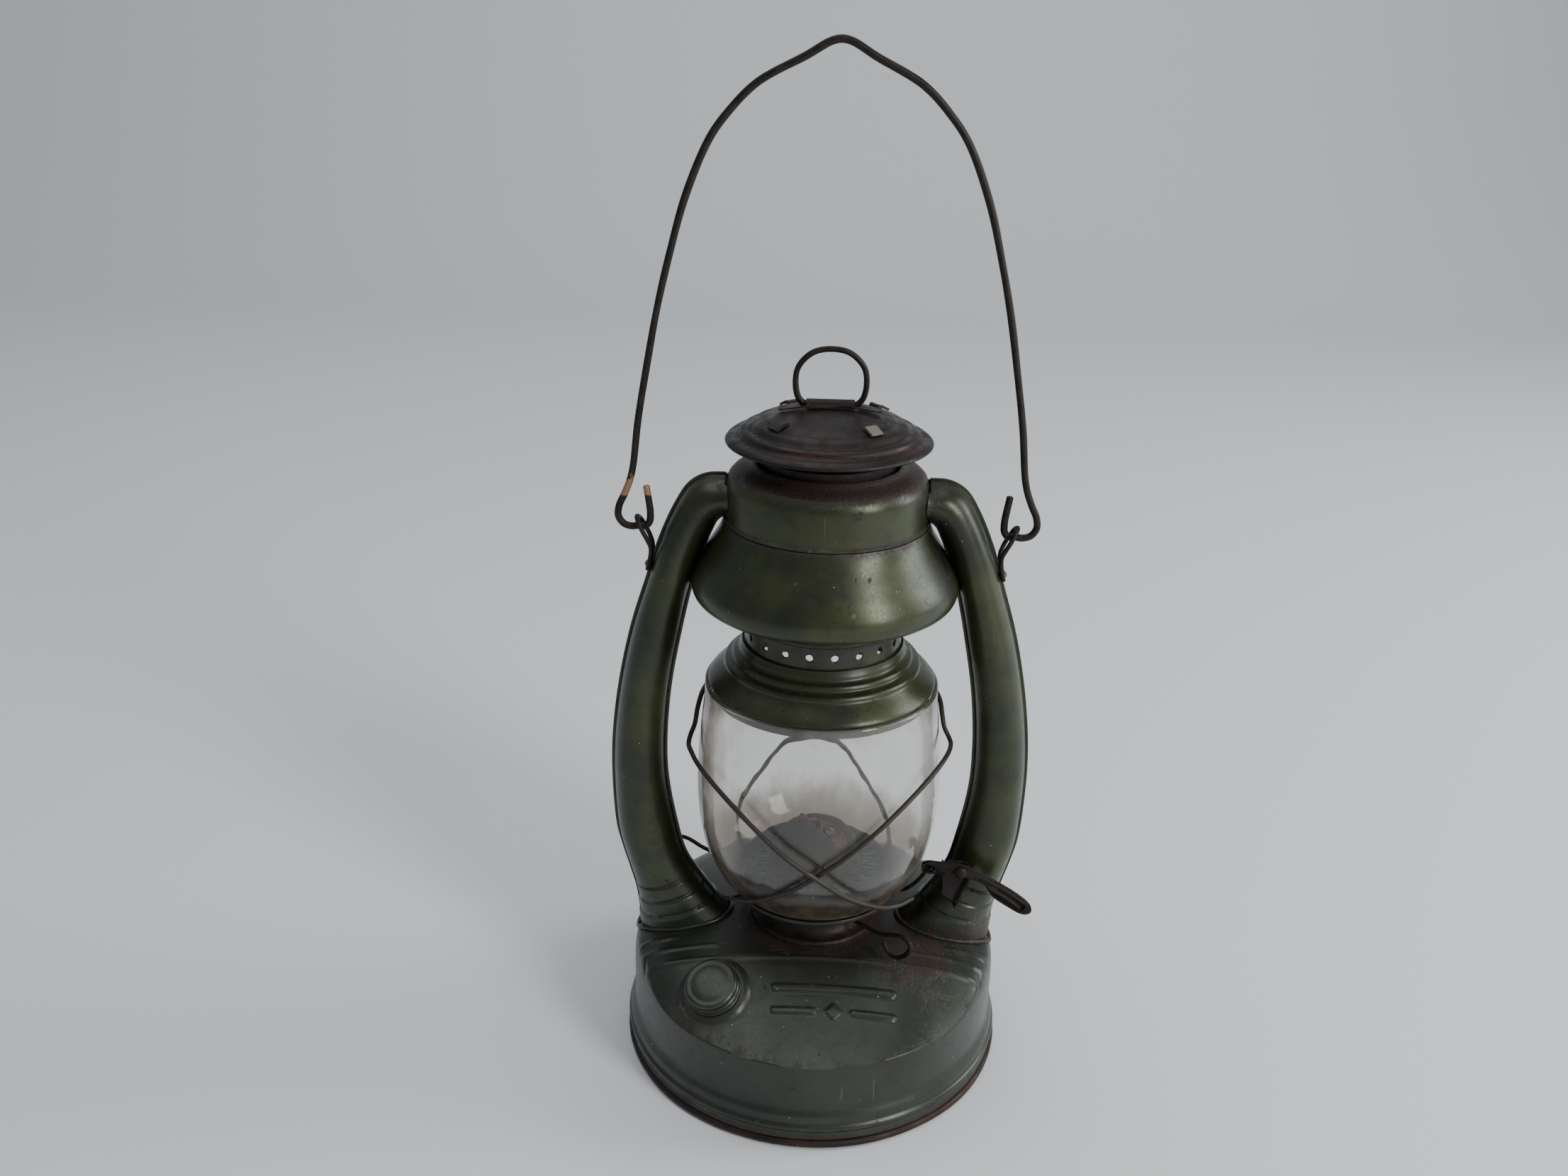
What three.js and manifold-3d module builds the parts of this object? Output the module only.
// A cold-blast tubular kerosene lantern, in millimetres, +Z up, resting on z = 0.
// The front faces -Y, and the two air tubes stand along +X and -X.
import * as THREE from "three";
import { mergeVertices } from "three/addons/utils/BufferGeometryUtils.js";
import Module from "manifold-3d";

const wasm = await Module();
wasm.setup();

// ---------- driving dimensions ----------
const GAP = 0.3; // clearance between touching pieces
const SHEET = 1.0; // sheet metal thickness
const ROUND = 32; // segments round a revolved piece

const FOOT_RADIUS = 98.5;
const WALL_RADIUS = 94.5;
const TANK_HOLE_RADIUS = 25.2;
const PANEL_EDGE_Y = -41; // the sloping front panel starts at this chord
const PANEL_HALF_WIDTH = 85;
const PANEL_SLOPE = 0.436;
const PANEL_DROOP = 0.5; // how much steeper the panel is at its two ends

const FILLER_PLACE = [-48, -57, 57.9];
const FILLER_AXIS = [-0.177, -0.431, 0.885];
const CAP_RADIUS = 14;

const BURNER_TURN = THREE.MathUtils.degToRad(-40); // the wick stands across this line
const SHAFT_HEIGHT = 80.9;
const SHAFT_OFFSET = -6.6;
const SHAFT_RADIUS = 1.1;
const WICK_WIDTH = 22;
const WICK_THICKNESS = 4;

const PLATE_RADIUS = 43.3;
const PLATE_BOTTOM = 88.2;
const GLASS = 2.2;
const GUARD_WIRE = 1.2; // wire radius
const HOOD_BOTTOM = 205.2;
const NECK_RADIUS = 37.9;
const NECK_HOLES = 20;
const NECK_HOLE_RADIUS = 1.6;
const NECK_HOLE_HEIGHT = 232.3;
const CHIMNEY_RADIUS = 31.5;

const SEAM_RADIUS = 47.2; // crown to bell
const SEAM_HEIGHT = 287.4;
const CANOPY_BOTTOM = 324.5;
const CANOPY_TOP = 340.4;
const TAB_RADIUS = 27;
const TAB_TURN = THREE.MathUtils.degToRad(-50);
const TAB_COUNT = 4;
const RING_PIVOT_HEIGHT = 342.95;
const RING_WIRE = 1.4;

const TUBE_DEPTH = 14; // half depth, front to back
const TUBE_FOOT_DEPTH = 16;
const TUBE_STEPS = 16;

const LEVER_PIVOT = [73, -20.3, 109.5];
const LINK_REACH = 13.4; // lever pivot to the lift wire
const EYE_PIVOT = [87.2, 0, 281];
const EAR_WIRE = 1.1;
const BAIL_WIRE = 1.7;
const BAIL_TOP = 496;

// Outlines as [radius, height], or [|x|, z] for the tubes.
const DOME = [
  [TANK_HOLE_RADIUS, 69.4],
  [38, 68.6],
  [50, 67.4],
  [62, 65.9],
  [75, 63.4],
  [85, 60.6],
  [90, 58.2],
  [93, 55],
  [94.2, 50],
];
const TUBE_OUTER_EDGE = [
  [91, 50], [93.8, 78], [97, 91], [100.5, 104], [103.3, 117], [104.8, 147], [104, 170],
  [100.2, 199], [93.5, 230], [85.8, 255], [78.9, 276.3], [71.1, 293.7], [64.5, 303.5], [56.4, 308],
  [44, 308.6],
];
const TUBE_INNER_EDGE = [
  [39.5, 62], [53, 79], [61, 91], [67.5, 103], [71.3, 118], [76, 147], [76.3, 170],
  [73.7, 199], [68, 230], [63.5, 250], [60, 262], [56.5, 272.5], [53.5, 280], [50.5, 285.5],
  [44, 288.8],
];
const BELL_OUTER = [
  [SEAM_RADIUS, SEAM_HEIGHT - GAP],
  [50.2, 281],
  [55.8, 272],
  [60.4, 265],
  [62.6, 257.5],
  [61.2, 252],
  [56.5, 249],
  [42, 245.6],
];
const GLOBE_OUTER = [
  [41.2, 90.6], [45.8, 94.8], [50.4, 100], [56.1, 112], [59.8, 127], [61, 146], [60.1, 170],
  [57.9, 190], [57.1, 204.7],
];

// ---------- materials ----------
const paint = (color, roughness, metalness) =>
  new THREE.MeshStandardMaterial({ color, roughness, metalness });
const enamel = () => paint(0x3a3f2a, 0.4, 0.25);
const rustedTin = () => paint(0x3c2a22, 0.65, 0.4);
const darkWire = () => paint(0x2b2724, 0.5, 0.7);
const oldBrass = () => paint(0x5a4a33, 0.5, 0.7);
const clearGlass = () => paint(0xdfe2dc, 0.1, 0);
const cotton = () => paint(0x6b4a35, 0.95, 0);

// ---------- geometry helpers ----------
function signedVolume(geometry) {
  const p = geometry.getAttribute("position");
  const index = geometry.index;
  const [a, b, c] = [new THREE.Vector3(), new THREE.Vector3(), new THREE.Vector3()];
  const corner = (i) => (index ? index.getX(i) : i);
  const count = index ? index.count : p.count;
  let sum = 0;
  for (let i = 0; i < count; i += 3) {
    a.fromBufferAttribute(p, corner(i));
    b.fromBufferAttribute(p, corner(i + 1));
    c.fromBufferAttribute(p, corner(i + 2));
    sum += a.dot(b.cross(c));
  }
  return sum / 6;
}

// Welds the corners, drops flattened triangles and turns the faces outwards.
function closed(geometry) {
  const loose = geometry.index ? geometry.toNonIndexed() : geometry;
  const bare = new THREE.BufferGeometry();
  bare.setAttribute("position", loose.getAttribute("position"));
  const merged = mergeVertices(bare, 1e-3);
  const outward = signedVolume(merged) > 0;
  const index = [];
  for (let i = 0; i < merged.index.count; i += 3) {
    const [a, b, c] = [0, 1, 2].map((k) => merged.index.getX(i + k));
    const flat = a === b || b === c || c === a;
    if (!flat) index.push(...(outward ? [a, b, c] : [a, c, b]));
  }
  merged.setIndex(index);
  return merged;
}

function solidOf(geometry) {
  const welded = closed(geometry);
  const mesh = new wasm.Mesh({
    numProp: 3,
    vertProperties: welded.getAttribute("position").array,
    triVerts: new Uint32Array(welded.index.array),
  });
  return new wasm.Manifold(mesh);
}

function geometryOf(solid) {
  const mesh = solid.getMesh();
  const geometry = new THREE.BufferGeometry();
  geometry.setAttribute("position", new THREE.BufferAttribute(mesh.vertProperties, 3));
  geometry.setIndex(new THREE.BufferAttribute(mesh.triVerts, 1));
  return geometry;
}

const cut = (geometry, ...tools) =>
  geometryOf(tools.reduce((solid, tool) => solid.subtract(solidOf(tool)), solidOf(geometry)));
const join = (geometry, ...others) =>
  geometryOf(others.reduce((solid, other) => solid.add(solidOf(other)), solidOf(geometry)));
const overlap = (geometry, other) => geometryOf(solidOf(geometry).intersect(solidOf(other)));

// A profile that starts and ends on the axis.
function revolve(profile, segments = ROUND) {
  const points = profile.map(([r, z]) => new THREE.Vector2(r, z));
  return closed(new THREE.LatheGeometry(points, segments).rotateX(Math.PI / 2));
}

// A profile that closes on itself, clear of the axis.
const revolveRing = (profile, segments = ROUND) => revolve([...profile, profile[0]], segments);

// A sheet shell: the outer profile, and the same profile moved in by the sheet's thickness.
function revolveSheet(outer, thickness = SHEET, segments = ROUND) {
  const inner = outer.map((point, i) => {
    const before = outer[Math.max(i - 1, 0)];
    const after = outer[Math.min(i + 1, outer.length - 1)];
    const along = new THREE.Vector2(after[0] - before[0], after[1] - before[1]).normalize();
    return [point[0] - along.y * thickness, point[1] + along.x * thickness];
  });
  return revolveRing([...outer, ...inner.reverse()], segments);
}

function box(width, depth, height, place) {
  return new THREE.BoxGeometry(width, depth, height).translate(...place);
}

// A cylinder from one point to another.
function rod(from, to, radius, sides = 12) {
  const start = new THREE.Vector3(...from);
  const end = new THREE.Vector3(...to);
  const along = end.clone().sub(start);
  const turn = new THREE.Quaternion().setFromUnitVectors(
    new THREE.Vector3(0, 1, 0),
    along.clone().normalize(),
  );
  const middle = start.add(end).multiplyScalar(0.5);
  return new THREE.CylinderGeometry(radius, radius, along.length(), sides)
    .applyQuaternion(turn)
    .translate(...middle.toArray());
}

function polygon(radius, sides) {
  const corner = (_, i) => {
    const angle = (i * 2 * Math.PI) / sides;
    return new THREE.Vector2(radius * Math.cos(angle), radius * Math.sin(angle));
  };
  return new THREE.Shape(Array.from({ length: sides }, corner));
}

// Round wire bent smoothly through the points.
function wire(points, radius, steps, sides = 8) {
  const path = new THREE.CatmullRomCurve3(
    points.map((p) => new THREE.Vector3(...p)),
    false,
    "centripetal",
  );
  const options = { steps, extrudePath: path, bevelEnabled: false };
  return closed(new THREE.ExtrudeGeometry(polygon(radius, sides), options));
}

// A flat plate cut to an outline of [x, z] points, its front face at y = front.
function plate(outline, front, thickness, holes = []) {
  const shape = new THREE.Shape(outline.map(([x, z]) => new THREE.Vector2(x, z)));
  holes.forEach((hole) => shape.holes.push(hole));
  const options = { depth: thickness, bevelEnabled: false, curveSegments: 6 };
  const slab = new THREE.ExtrudeGeometry(shape, options);
  return closed(slab.rotateX(Math.PI / 2).translate(0, front + thickness, 0));
}

const mirrored = (points) => points.map(([x, ...rest]) => [-x, ...rest]);

// ---------- tank ----------
function domeHeight(radius) {
  const r = THREE.MathUtils.clamp(radius, DOME[0][0], DOME.at(-1)[0]);
  const i = Math.max(DOME.findIndex(([edge]) => edge >= r), 1);
  const [[r0, z0], [r1, z1]] = [DOME[i - 1], DOME[i]];
  return THREE.MathUtils.mapLinear(r, r0, r1, z0, z1);
}

// Everything above and in front of the sloping panel, as a stack of slices across the lantern.
function panelCutter(drop = 0) {
  const slices = 16;
  const slice = (x) => {
    const top = domeHeight(Math.hypot(x, PANEL_EDGE_Y)) - drop;
    const slope = PANEL_SLOPE + PANEL_DROOP * (x / PANEL_HALF_WIDTH) ** 4;
    const outer = -Math.sqrt(WALL_RADIUS ** 2 - x ** 2) - 5;
    return [
      [x, outer, top + slope * (outer - PANEL_EDGE_Y)],
      [x, PANEL_EDGE_Y + drop / 2, top],
      [x, PANEL_EDGE_Y + drop / 2, 120],
      [x, outer, 120],
    ];
  };
  const block = new THREE.BoxGeometry(1, 1, 1, slices, 1, 1);
  const p = block.getAttribute("position");
  for (let i = 0; i < p.count; i += 1) {
    const corners = slice(p.getX(i) * 2 * (PANEL_HALF_WIDTH + 0.5));
    const back = p.getY(i) > 0;
    const high = p.getZ(i) > 0;
    const corner = high ? (back ? 2 : 3) : (back ? 1 : 0);
    p.setXYZ(i, ...corners[corner]);
  }
  return block;
}

function underDome(offset) {
  const rim = [...DOME].reverse().map(([r, z]) => [r + offset, z + offset]);
  return revolve([[0, 0], [WALL_RADIUS + offset, 0], ...rim, [0, DOME[0][1] + offset]]);
}

function placeOnFiller(geometry) {
  const turn = new THREE.Quaternion().setFromUnitVectors(
    new THREE.Vector3(0, 0, 1),
    new THREE.Vector3(...FILLER_AXIS).normalize(),
  );
  return geometry.applyQuaternion(turn).translate(...FILLER_PLACE);
}

function tankShell() {
  const wall = [[97, 4.8], [96.9, 9], [97.1, 11], [95.3, 13.6], [WALL_RADIUS, 19]];
  const outside = [[0, 4.8], ...wall, ...[...DOME].reverse(), [0, DOME[0][1]]];
  const inside = [[0, 3], [95.5, 3], [95.5, 11], [93.6, 14], [93.3, 19]];
  const ceiling = [...DOME].reverse().map(([r, z]) => [r - 1.1, z - 1.2]);
  const body = cut(revolve(outside), panelCutter());
  const hollow = cut(revolve([...inside, ...ceiling, [0, DOME[0][1] - 1.2]]), panelCutter(1.4));
  const burnerHole = rod([0, 0, 50], [0, 0, 80], TANK_HOLE_RADIUS, 32);
  const fillerHole = placeOnFiller(rod([0, 0, -12], [0, 0, 12], 11.8, 16));
  const airHoles = [-1, 1].map((side) => rod([side * 68, 0, 55], [side * 68, 0, 72], 10, 12));
  return cut(body, hollow, burnerHole, fillerHole, ...airHoles);
}

function tankBottom() {
  return revolve([[0, 3.4], [88, 3.4], [90, 2], [95, 2], [95, 4.4], [91, 4.4], [89, 5.2], [0, 5.2]]);
}

function footRing() {
  return revolveRing([
    [95.4, 0], [97.9, 0], [FOOT_RADIUS, 0.8], [FOOT_RADIUS, 3.4], [97.8, 4.4], [95.4, 4.4],
  ]);
}

// A trough under the dome that carries air from the tubes to the burner, clear of the fuel.
function airTrough() {
  const trough = (inset) => box(164 - inset, 44 - inset, 40, [0, 0, 71 + inset / 2]);
  const outside = overlap(underDome(-1.9), trough(0));
  const wickWay = rod([0, 0, 40], [0, 0, 60], 14, 16);
  return cut(outside, trough(2), wickWay);
}

function fillerNeck() {
  const profile = [
    [9.8, -6], [11.3, -6], [11.3, 0.9], [16, 0.9],
    [16, 1.7], [11.3, 1.7], [11.3, 6.6], [9.8, 6.6],
  ];
  return placeOnFiller(revolveRing(profile, 24));
}

function fillerGasket() {
  return placeOnFiller(revolveRing([[8, 6.9], [11.5, 6.9], [11.5, 7.5], [8, 7.5]], 24));
}

function fillerCap() {
  const outside = [[CAP_RADIUS, 2.2], [CAP_RADIUS, 3.8], [13.2, 4.2], [13.2, 8.4], [11.8, 9.6], [0, 9.8]];
  const inside = [[0, 7.8], [11.9, 7.8], [11.9, 2.2]];
  return placeOnFiller(revolve([...inside, ...outside], 28));
}

// ---------- burner, built along its own X and turned as a group ----------
function burnerCollar() {
  const outside = [[33, 69.7], [32.4, 71.6], [28.6, 73.6], [26.2, 78], [26.2, 86]];
  const inside = [[25, 86], [25, 77.6], [27.5, 72.6], [31.2, 70.6], [31.8, 69.7]];
  const shaftWay = rod([0, SHAFT_OFFSET, SHAFT_HEIGHT], [40, SHAFT_OFFSET, SHAFT_HEIGHT], 1.7);
  return cut(revolveRing([...outside, ...inside], 32), shaftWay);
}

function burnerBody() {
  const outside = [[0, 70], [24.6, 70], [24.6, 86.3], [27, 86.3], [27, 87.3]];
  const inside = [[23.4, 87.3], [23.4, 71.2], [0, 71.2]];
  const shaftWay = rod([0, SHAFT_OFFSET, SHAFT_HEIGHT], [40, SHAFT_OFFSET, SHAFT_HEIGHT], 1.5);
  const tubeWay = box(WICK_WIDTH + 3, WICK_THICKNESS + 3.2, 8, [0, 0, 71]);
  return cut(revolve([...outside, ...inside], 32), shaftWay, tubeWay);
}

function wickTube() {
  const outer = box(WICK_WIDTH + 2.2, WICK_THICKNESS + 2.2, 63, [0, 0, 88.5]);
  const bore = box(WICK_WIDTH + 0.7, WICK_THICKNESS + 0.7, 80, [0, 0, 88.5]);
  const slots = [-6, 6].map((x) => box(2.4, 3, 8, [x, -3, SHAFT_HEIGHT]));
  return cut(outer, bore, ...slots);
}

const wick = () => box(WICK_WIDTH, WICK_THICKNESS, 104, [0, 0, 71.5]);

// Shaft with a bent wire loop outside the collar, turned by hand to raise the wick.
function wickRaiser() {
  const shaft = [-11, 0, 12, 24, 40].map((x) => [x, SHAFT_HEIGHT]);
  const loop = [
    [50, 81.6], [57, 84.6], [63, 86.4], [67.6, 84.6], [67.4, 80], [61, 73], [55.6, 72.6],
    [51.2, 77.6],
  ];
  const bent = [...shaft, ...loop].map(([x, z]) => [x, SHAFT_OFFSET, z]);
  return wire(bent, SHAFT_RADIUS, 34, 5);
}

function spurWheel(x) {
  const teeth = 9;
  const corner = (i) => {
    const angle = (i * Math.PI) / teeth;
    const radius = i % 2 ? 3 : 4.2;
    return new THREE.Vector2(radius * Math.cos(angle), radius * Math.sin(angle));
  };
  const shape = new THREE.Shape(Array.from({ length: 2 * teeth }, (_, i) => corner(i)));
  shape.holes.push(new THREE.Path(polygon(1.2 + GAP, 8).getPoints()));
  const wheel = new THREE.ExtrudeGeometry(shape, { depth: 1.4, bevelEnabled: false });
  return closed(wheel.rotateY(Math.PI / 2).translate(x - 0.7, SHAFT_OFFSET, SHAFT_HEIGHT));
}

function burnerCone() {
  const outside = [
    [25, 101.6], [25, 102.6], [22.8, 103.2], [21.8, 107], [19.8, 112.4], [16.4, 117.2], [11.2, 120.4],
    [5, 121.8], [0, 122],
  ];
  const inside = [
    [0, 121], [4.8, 120.8], [10.8, 119.4], [15.7, 116.5], [18.9, 112], [20.9, 106.6], [21.7, 101.6],
  ];
  const dome = revolve([...outside, ...inside, outside[0]], 32);
  return cut(dome, box(WICK_WIDTH + 3, 8, 24, [0, 0, 124]));
}

// ---------- globe carriage ----------
function globePlate() {
  const z = PLATE_BOTTOM;
  const outside = [[37.6, z], [42.2, z], [PLATE_RADIUS, z + 1], [PLATE_RADIUS, z + 3]];
  return revolveRing([...outside, [42.4, z + 3], [42.1, z + 2], [37.6, z + 2]]);
}

// A shallow drum, open below, with a ring of air holes in its top.
function airDeck() {
  const disc = revolveRing([
    [36.2, 88.7], [37.2, 88.7], [37.2, 101.2], [22, 101.2], [22, 100.1], [36.2, 100.1],
  ]);
  const holes = Array.from({ length: 16 }, (_, i) => {
    const angle = (i * Math.PI) / 8;
    const place = [31 * Math.cos(angle), 31 * Math.sin(angle)];
    return rod([...place, 98], [...place, 104], 2, 6);
  });
  return cut(disc, ...holes);
}

const globe = () => revolveSheet(GLOBE_OUTER, GLASS);

// One wire: it crosses the front twice and passes round the back near the globe's top.
function guardWire() {
  const upperCross = [
    [49, -32, 100], [41.5, -39.2, 100.4], [34.4, -45.2, 103], [26.7, -52, 108.7],
    [14.8, -60.4, 118.6], [0.6, -65.3, 131.4], [-15, -63.6, 142.3], [-37.6, -53.2, 159.7],
    [-56, -31.6, 168.2], [-63, -13, 167.6], [-65.2, -5, 168],
  ];
  const back = [
    [-64.6, -1, 170.8], [-62.8, 1.5, 175.4], [-61.4, 4, 184], [-59, 12, 190.5], [-50, 35, 192],
    [-30, 54, 192], [0, 62, 192], [30, 54, 192], [50, 35, 192], [59.2, 11, 190.5],
    [60.7, 3.5, 184.5], [61.9, 1, 179], [64.3, -2, 174.8], [65, -6, 173.2],
  ];
  const lowerCross = [
    [57.3, -28.4, 172], [32.3, -53.9, 155.6], [14, -61.1, 140.9], [1.4, -62.3, 131.4],
    [-11.4, -59.2, 120.1], [-27.3, -48.8, 106.8], [-38, -37.6, 98.5], [-43.4, -28, 93.4],
    [-45.2, -22, 89.3], [-42, -19, 86.8], [-37, -17, 86.5],
  ];
  return wire([...upperCross, ...back, ...lowerCross], GUARD_WIRE, 88, 5);
}

function rearGuard() {
  const points = [
    [-36, 24, 86.5], [-42, 28, 87.6], [-44.6, 33, 96], [-43.2, 39, 108.7], [-32, 53, 121.3],
    [-19.8, 60.8, 135], [-16, 62.2, 136.6], [8, 63.4, 136.6], [11.6, 62.6, 135], [26.3, 55, 117.8],
    [36.8, 42.6, 104.6], [40.6, 36, 94], [39.8, 31, 87.8], [34.5, 27, 86.5],
  ];
  return wire(points, GUARD_WIRE, 32, 5);
}

// Rises with the lever's eye, passes behind the burner neck and steadies on the left tube.
function liftWire() {
  const x = LEVER_PIVOT[0] - LINK_REACH;
  const arc = [20, 55, 90, 125, 160].map((degrees) => {
    const angle = THREE.MathUtils.degToRad(degrees);
    return [33 * Math.cos(angle), 33 * Math.sin(angle), 86.3];
  });
  const right = [
    [x, -22.6, 109.3], [x, -17.4, 109.3], [x - 2, -14, 106], [52.5, -11, 96], [45.5, -8, 88.4],
    [37.5, -1, 86.3],
  ];
  const left = [
    [-38, 3, 86.3], [-45.4, 2, 88.6], [-52, 5, 96.4], [-60, 9, 98.4], [-70, 17.4, 98.6],
    [-80, 19, 98.6],
  ];
  return wire([...right, ...arc, ...left], 1, 40, 5);
}

// ---------- lift lever ----------
function stadium(from, to, z, radius) {
  const path = new THREE.Path();
  path.absarc(to - radius, z, radius, -Math.PI / 2, Math.PI / 2);
  path.absarc(from + radius, z, radius, Math.PI / 2, (3 * Math.PI) / 2);
  return path;
}

function roundHole(x, z, radius) {
  const middle = new THREE.Vector2(x, z);
  const rim = polygon(radius, 12).getPoints();
  return new THREE.Path(rim.map((point) => point.add(middle)));
}

function liftLever() {
  const outline = [
    [54, 111.2], [56, 112.6], [62, 112.7], [73, 112.6], [80, 110], [86, 107], [92, 104], [101, 98.8],
    [107, 94.2], [109.2, 91], [108.4, 88.6], [105, 87.9], [97, 91.8], [90, 96.4], [87.5, 99.6], [84.6, 103.4],
    [79, 105.6], [73, 106.7], [62, 106.8], [56, 106.7], [54, 108],
  ];
  const [pivotX, front, pivotZ] = LEVER_PIVOT;
  const eye = stadium(pivotX - 17.8, pivotX - 11.9, pivotZ, 1.7);
  const lever = plate(outline, front - 1, 2, [eye, roundHole(pivotX, pivotZ, 1.8)]);
  const splay = new THREE.Matrix4().set(1, 0, 0, 0, -0.1, 1, 0, 0.1 * pivotX, 0, 0, 1, 0, 0, 0, 0, 1);
  return lever.applyMatrix4(splay);
}

function leverBracket() {
  const outline = [
    [65, 110.5], [68, 112.4], [77, 112], [79, 108], [77.8, 101.6], [75, 95.4], [73.3, 89.5],
    [71.6, 85.2], [70, 88.5], [65, 92],
  ];
  const face = plate(outline, -16.6, 1, [roundHole(LEVER_PIVOT[0], LEVER_PIVOT[2], 1.8)]);
  return join(face, box(1, 14, 5.5, [65.5, -9.6, 101.5]));
}

function leverPin() {
  const [x, , z] = LEVER_PIVOT;
  return join(rod([x, -15.4, z], [x, -22.5, z], 1.5), rod([x, -22.2, z], [x, -23.4, z], 3));
}

// ---------- side tubes ----------
// Half of a tube, split front to back, with a seam flange along both edges.
function tubeSection() {
  const flange = 0.075;
  const body = 0.92;
  const skin = 0.075;
  const gap = 0.011;
  const arcs = 6;
  const arc = (radius, depth, from, to) =>
    Array.from({ length: arcs + 1 }, (_, i) => {
      const angle = THREE.MathUtils.mapLinear(i, 0, arcs, from, to);
      return new THREE.Vector2(radius * Math.cos(angle), gap + depth * Math.sin(angle));
    });
  const outer = arc(body, 1 - gap, flange, Math.PI - flange);
  const inner = arc(body - skin, 1 - gap - skin, Math.PI, 0);
  const tip = (u, v) => new THREE.Vector2(u, v);
  return new THREE.Shape([
    tip(1, gap), tip(1, gap + flange), ...outer, tip(-1, gap + flange), tip(-1, gap), ...inner,
  ]);
}

function tubeHalf(side, face) {
  const edge = (points) => {
    const places = points.map(([x, z]) => new THREE.Vector3(x, 0, z));
    return new THREE.CatmullRomCurve3(places, false, "centripetal");
  };
  const [outer, inner] = [edge(TUBE_OUTER_EDGE), edge(TUBE_INNER_EDGE)];
  const options = { depth: 1, steps: TUBE_STEPS, bevelEnabled: false };
  const half = new THREE.ExtrudeGeometry(tubeSection(), options);
  const p = half.getAttribute("position");
  for (let i = 0; i < p.count; i += 1) {
    const [u, v, t] = [p.getX(i), p.getY(i), p.getZ(i)];
    const place = inner.getPoint(t).lerp(outer.getPoint(t), (u + 1) / 2);
    const risen = THREE.MathUtils.smoothstep(t, 0, 0.25);
    const depth = THREE.MathUtils.lerp(TUBE_FOOT_DEPTH, TUBE_DEPTH, risen);
    p.setXYZ(i, side * place.x, face * v * depth, place.z);
  }
  return half;
}

function crownEnvelope() {
  const waist = [[SEAM_RADIUS + GAP, 320], [SEAM_RADIUS + GAP, SEAM_HEIGHT]];
  const bell = BELL_OUTER.slice(1).map(([r, z]) => [r + GAP + 0.1, z]);
  return revolve([[0, 320], ...waist, ...bell, [0, 245]]);
}

const sideTube = (side, face) => cut(tubeHalf(side, face), crownEnvelope(), underDome(GAP));

// ---------- crown, bell, hood, canopy ----------
function crown() {
  const outside = [
    [SEAM_RADIUS, SEAM_HEIGHT], [SEAM_RADIUS, 306], [45.6, 309.6], [42.6, 311.8], [36.4, 313.2],
    [34.2, 315.6],
  ];
  const inside = [
    [33.4, 315], [35.6, 312.2], [42, 310.7], [44.7, 308.9], [46.2, 305.4], [46.2, SEAM_HEIGHT],
  ];
  const airWays = [-1, 1].map((side) => rod([side * 30, 0, 298.5], [side * 60, 0, 298.5], 8, 16));
  return cut(revolveRing([...outside, ...inside]), ...airWays);
}

const bell = () => revolveSheet([...BELL_OUTER].reverse());

// The flange that sits on the globe, with a skirt inside the glass.
function hood() {
  const z = HOOD_BOTTOM;
  const outside = [
    [55.5, z], [55.3, z + 1.6], [52.4, 209.6], [47.6, 213.6], [46.4, 216.4], [43.4, 218],
    [42.4, 220.4], [39.6, 223.4], [39.2, 226.5],
  ];
  const inside = [[38.2, 226.5], [38.3, 223], [41.2, 219], [46, 212.6], [52.4, 206.4]];
  const skirt = [[52.4, 199], [53.4, 199], [53.4, z]];
  return revolveRing([...outside, ...inside, ...skirt]);
}

// A band with a row of vent holes, standing in the flange.
function perforatedNeck() {
  const r = NECK_RADIUS;
  const band = revolveRing([[r, 222.5], [r, 262], [r - 1, 262], [r - 1, 222.5]]);
  const holes = Array.from({ length: NECK_HOLES / 2 }, (_, i) => {
    const angle = ((i + 0.5) * 2 * Math.PI) / NECK_HOLES;
    const reach = new THREE.Vector3(50 * Math.cos(angle), 50 * Math.sin(angle), 0);
    const ends = [reach.clone().negate(), reach].map((end) => [end.x, end.y, NECK_HOLE_HEIGHT]);
    return rod(...ends, NECK_HOLE_RADIUS, 6);
  });
  return cut(band, ...holes);
}

function chimney() {
  const r = CHIMNEY_RADIUS;
  return revolveRing([
    [37.6, 262.3], [37.6, 263.3], [r + 0.8, 267], [r, 268.4], [r, 318], [r - 1, 318],
    [r - 1, 267.6], [r, 265.6], [36, 262.3],
  ]);
}

// A coil round the chimney that presses the hood down on the globe.
function chimneySpring() {
  const turns = 4;
  const perTurn = 12;
  const [low, high] = [269.5, 308];
  const points = Array.from({ length: turns * perTurn + 1 }, (_, i) => {
    const angle = (i * 2 * Math.PI) / perTurn;
    const height = THREE.MathUtils.mapLinear(i, 0, turns * perTurn, low, high);
    return [36 * Math.cos(angle), 36 * Math.sin(angle), height];
  });
  return wire(points, 0.9, turns * perTurn, 5);
}

const tabTurns = Array.from({ length: TAB_COUNT }, (_, i) => TAB_TURN + (i * 2 * Math.PI) / TAB_COUNT);

function canopy() {
  const z = CANOPY_BOTTOM;
  const outside = [
    [0, CANOPY_TOP], [12, 339.9], [22, 338.3], [30, 335.8], [36, 332.9], [41, 330.2],
    [44.6, 328.1], [47.4, z + 2.2], [47.8, z + 0.8], [47, z],
  ];
  const inside = [
    [46, z], [45.8, z + 1.8], [43.9, 326.9], [40.2, 329.1], [35.4, 331.8], [29.5, 334.7],
    [21.6, 337.2], [12, 338.8], [0, CANOPY_TOP - 1.1],
  ];
  const shell = revolve([...outside, ...inside]);
  const slots = tabTurns.map((turn) => box(1.6, 7.6, 20, [TAB_RADIUS, 0, 340]).rotateZ(turn));
  return cut(shell, ...slots);
}

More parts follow.
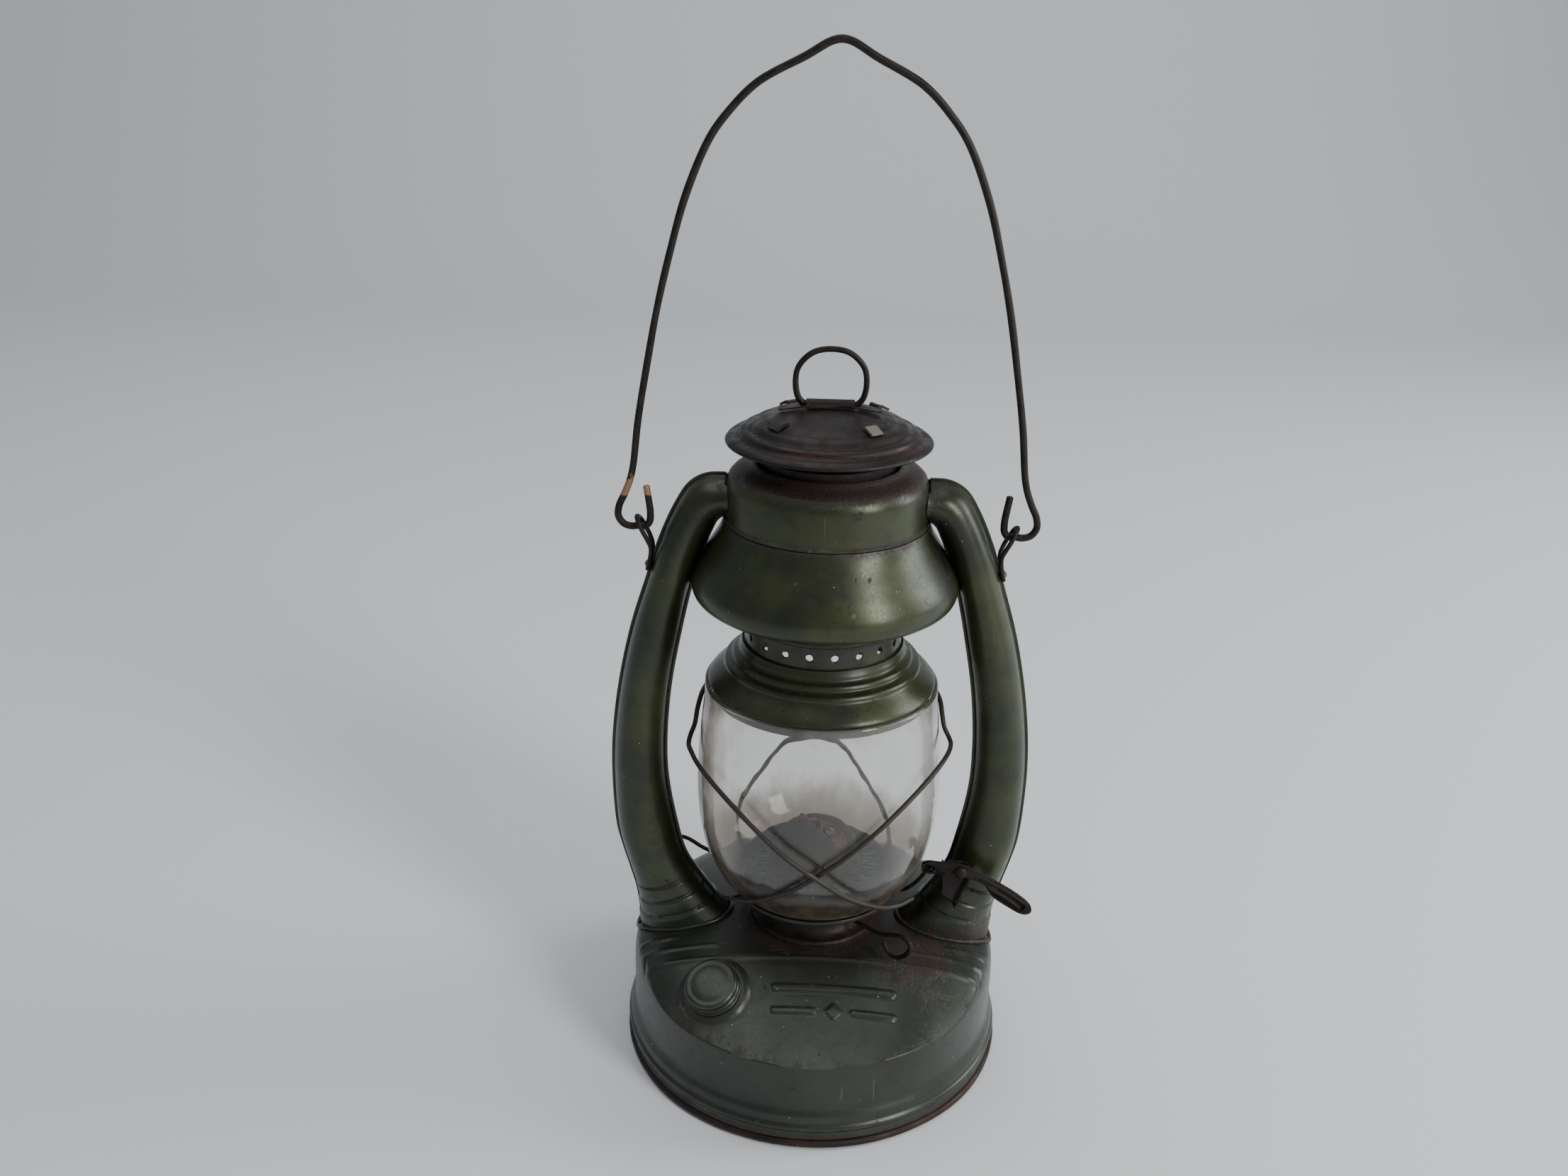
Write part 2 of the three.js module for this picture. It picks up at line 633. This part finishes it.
// Four legs from the chimney's mouth, each passed through the canopy and folded over.
function canopySpider() {
  const leg = [
    [29.2, 306], [29.9, 306], [29.9, 318.6], [TAB_RADIUS + 0.4, 328], [TAB_RADIUS + 0.4, 337.6],
    [33.4, 334.6], [33.7, 335.5], [TAB_RADIUS + 0.2, 338.9], [TAB_RADIUS - 0.4, 338.6],
    [TAB_RADIUS - 0.4, 327.6], [29.2, 318],
  ];
  const legs = tabTurns.map((turn) => plate(leg, -3.4, 6.8).rotateZ(turn));
  const band = revolveRing([[29.2, 306], [30.1, 306], [30.1, 309.5], [29.2, 309.5]], 32);
  return join(band, ...legs);
}

// A strap over the top of the canopy with a tunnel for the lifting ring.
function canopyBridge() {
  const tunnel = box(22, 7.4, 4.5, [0, 0, CANOPY_TOP + GAP + 2.25]);
  const ear = (side) => box(14.5, 7.4, 0.8, [0, 0, 0]).rotateY(side * 0.15);
  const ears = [-1, 1].map((side) => ear(side).translate(side * 16.6, 0, CANOPY_TOP + 0.5));
  const ends = [-30, 30].map((x) => [x, 0, RING_PIVOT_HEIGHT]);
  const bore = rod(...ends, RING_WIRE + 0.35, 12);
  return cut(join(tunnel, ...ears), bore);
}

function liftingRing() {
  const z = RING_PIVOT_HEIGHT;
  const half = [
    [0.4, z], [6, z], [11.6, z], [14.4, z + 2.4], [16, z + 9], [14.8, z + 16.8], [8.5, z + 23.3],
    [0, z + 25.1],
  ];
  const other = mirrored(half.slice(0, -1)).reverse();
  return wire([...half, ...other].map(([x, height]) => [x, 0, height]), RING_WIRE, 34, 6);
}

// ---------- bail ----------
function bail() {
  const [, , z] = EYE_PIVOT;
  const half = [
    [84.6, 300.8], [83.6, 294], [82.9, 287.5], [83.3, 283.2], [85.2, z], [88, z], [92, z - 0.4],
    [95.6, z + 0.8], [98, z + 4.4], [97.6, 290.4], [94.8, 296.6], [92.3, 303], [90.6, 310],
    [87.8, 332], [83.1, 358.5], [78.1, 384], [72.2, 408], [65.2, 432], [55, 455.5], [47, 466.5],
    [34.6, 478.6], [14.4, 489.4], [4.5, 495], [0, BAIL_TOP],
  ];
  const other = mirrored(half.slice(0, -1)).reverse();
  return wire([...half, ...other].map(([x, height]) => [x, 0, height]), BAIL_WIRE, 84, 6);
}

// A wire eye whose two legs straddle the tube's outer seam.
function ear(side) {
  const leg = [
    [84.4, 2.7, 259.5], [82.9, 2.7, 266], [82.6, 3.1, 271], [83.9, 4.3, 275], [86.1, 4.4, 279.4],
    [88.2, 3.1, 283.6],
  ];
  const back = leg.map(([x, y, z]) => [x, -y, z]).reverse();
  const points = [...leg, [89.2, 0, 285.4], ...back];
  return wire(points.map(([x, y, z]) => [side * x, y, z]), EAR_WIRE, 26, 5);
}

// ---------- assembly ----------
const lantern = new THREE.Group();
const turned = new THREE.Group();
turned.rotation.z = BURNER_TURN;
lantern.add(turned);

function add(name, geometry, material, group = lantern) {
  const mesh = new THREE.Mesh(geometry, material);
  mesh.name = name;
  group.add(mesh);
}

add("tank_shell", tankShell(), enamel());
add("tank_bottom", tankBottom(), rustedTin());
add("foot_ring", footRing(), rustedTin());
add("air_trough", airTrough(), rustedTin());
add("filler_neck", fillerNeck(), enamel());
add("filler_gasket", fillerGasket(), paint(0x3b2a1c, 0.9, 0));
add("filler_cap", fillerCap(), enamel());

add("burner_collar", burnerCollar(), rustedTin(), turned);
add("burner_body", burnerBody(), oldBrass(), turned);
add("wick_tube", wickTube(), oldBrass(), turned);
add("wick", wick(), cotton(), turned);
add("wick_raiser", wickRaiser(), darkWire(), turned);
add("spur_wheel_inner", spurWheel(-6), oldBrass(), turned);
add("spur_wheel_outer", spurWheel(6), oldBrass(), turned);
add("burner_cone", burnerCone(), oldBrass(), turned);

add("globe_plate", globePlate(), enamel());
add("air_deck", airDeck(), rustedTin());
add("globe", globe(), clearGlass());
add("guard_wire", guardWire(), darkWire());
add("rear_guard_wire", rearGuard(), darkWire());
add("lift_wire", liftWire(), darkWire());

add("lift_lever", liftLever(), darkWire());
add("lever_bracket", leverBracket(), rustedTin());
add("lever_pin", leverPin(), darkWire());

const sides = { left: -1, right: 1 };
const faces = { front: -1, rear: 1 };
for (const [sideName, side] of Object.entries(sides)) {
  for (const [faceName, face] of Object.entries(faces)) {
    add(`${sideName}_tube_${faceName}`, sideTube(side, face), enamel());
  }
  add(`${sideName}_ear`, ear(side), darkWire());
}

add("crown", crown(), enamel());
add("bell", bell(), enamel());
add("hood", hood(), enamel());
add("perforated_neck", perforatedNeck(), enamel());
add("chimney", chimney(), rustedTin());
add("chimney_spring", chimneySpring(), darkWire());
add("canopy", canopy(), rustedTin());
add("canopy_spider", canopySpider(), rustedTin());
add("canopy_bridge", canopyBridge(), rustedTin());
add("lifting_ring", liftingRing(), darkWire());
add("bail", bail(), darkWire());

export default lantern;
